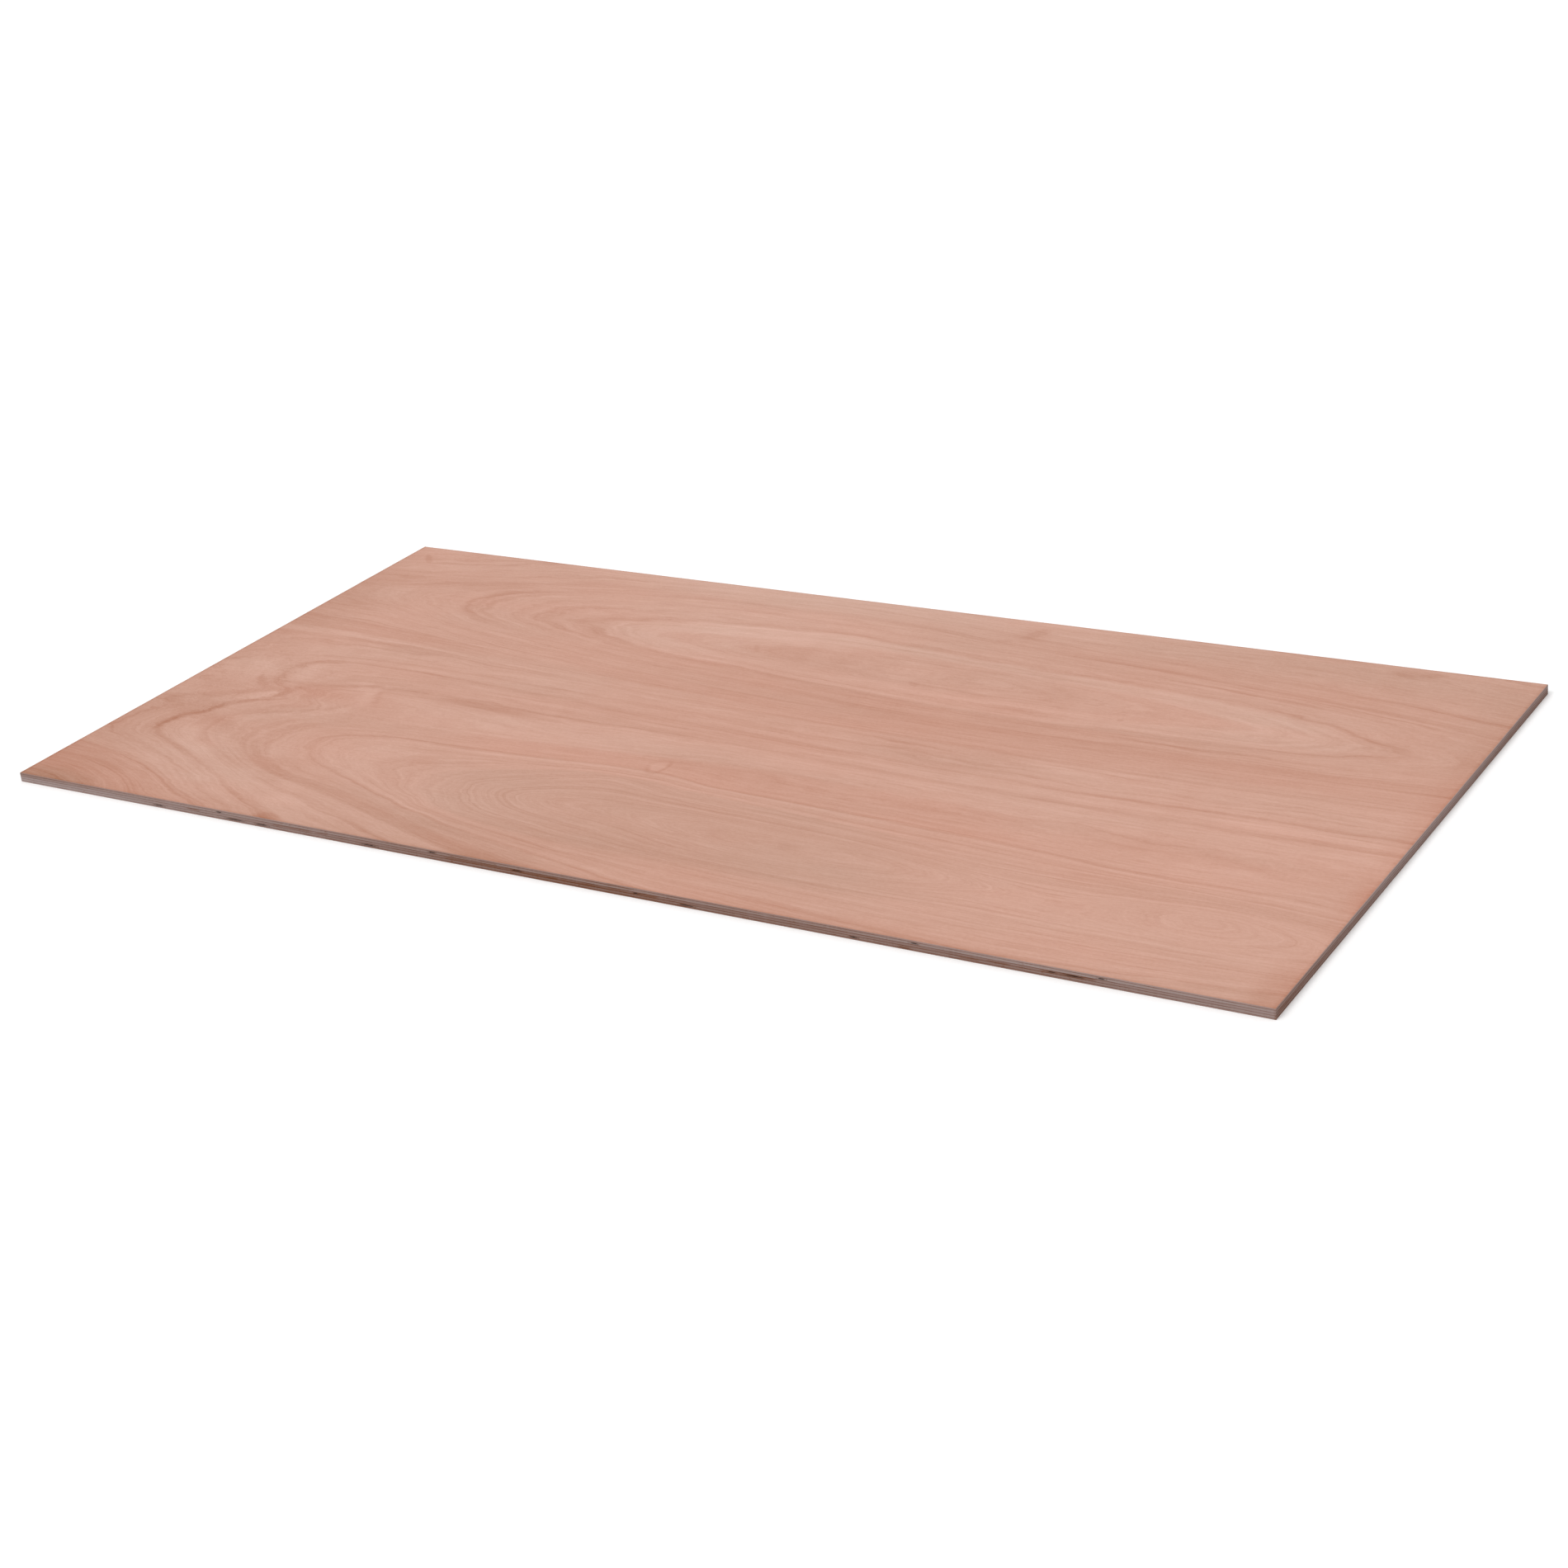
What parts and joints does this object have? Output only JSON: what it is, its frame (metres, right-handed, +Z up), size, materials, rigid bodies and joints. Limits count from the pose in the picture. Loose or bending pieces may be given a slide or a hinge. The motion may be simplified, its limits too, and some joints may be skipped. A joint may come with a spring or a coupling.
{
  "type": "plywood sheet",
  "caption": "Flat rectangular sheet of plywood with a wood-grain face, glued up from cross-laid veneers whose layers and small core gaps show on its sawn edges.",
  "frame": {"origin": "middle of the underside, on the floor that the sheet lies on", "axes": "+X along the sheet's length and its face grain, towards the right-hand short edge; +Y across its width, away from the front long edge that the camera looks at; +Z up through its thickness, out of the face veneer"},
  "size_m": [1.22, 0.61, 0.009],
  "materials": {
    "face_veneer": "raw sanded, matt",
    "back_veneer": "raw sanded, matt",
    "crossband": "sawn, matt",
    "centre_ply": "sawn, matt"
  },
  "bodies": {
    "root": {"back_veneer": "back_veneer", "lower_crossband": "crossband", "centre_ply": "centre_ply", "upper_crossband": "crossband", "face_veneer": "face_veneer"}
  },
  "joints": []
}
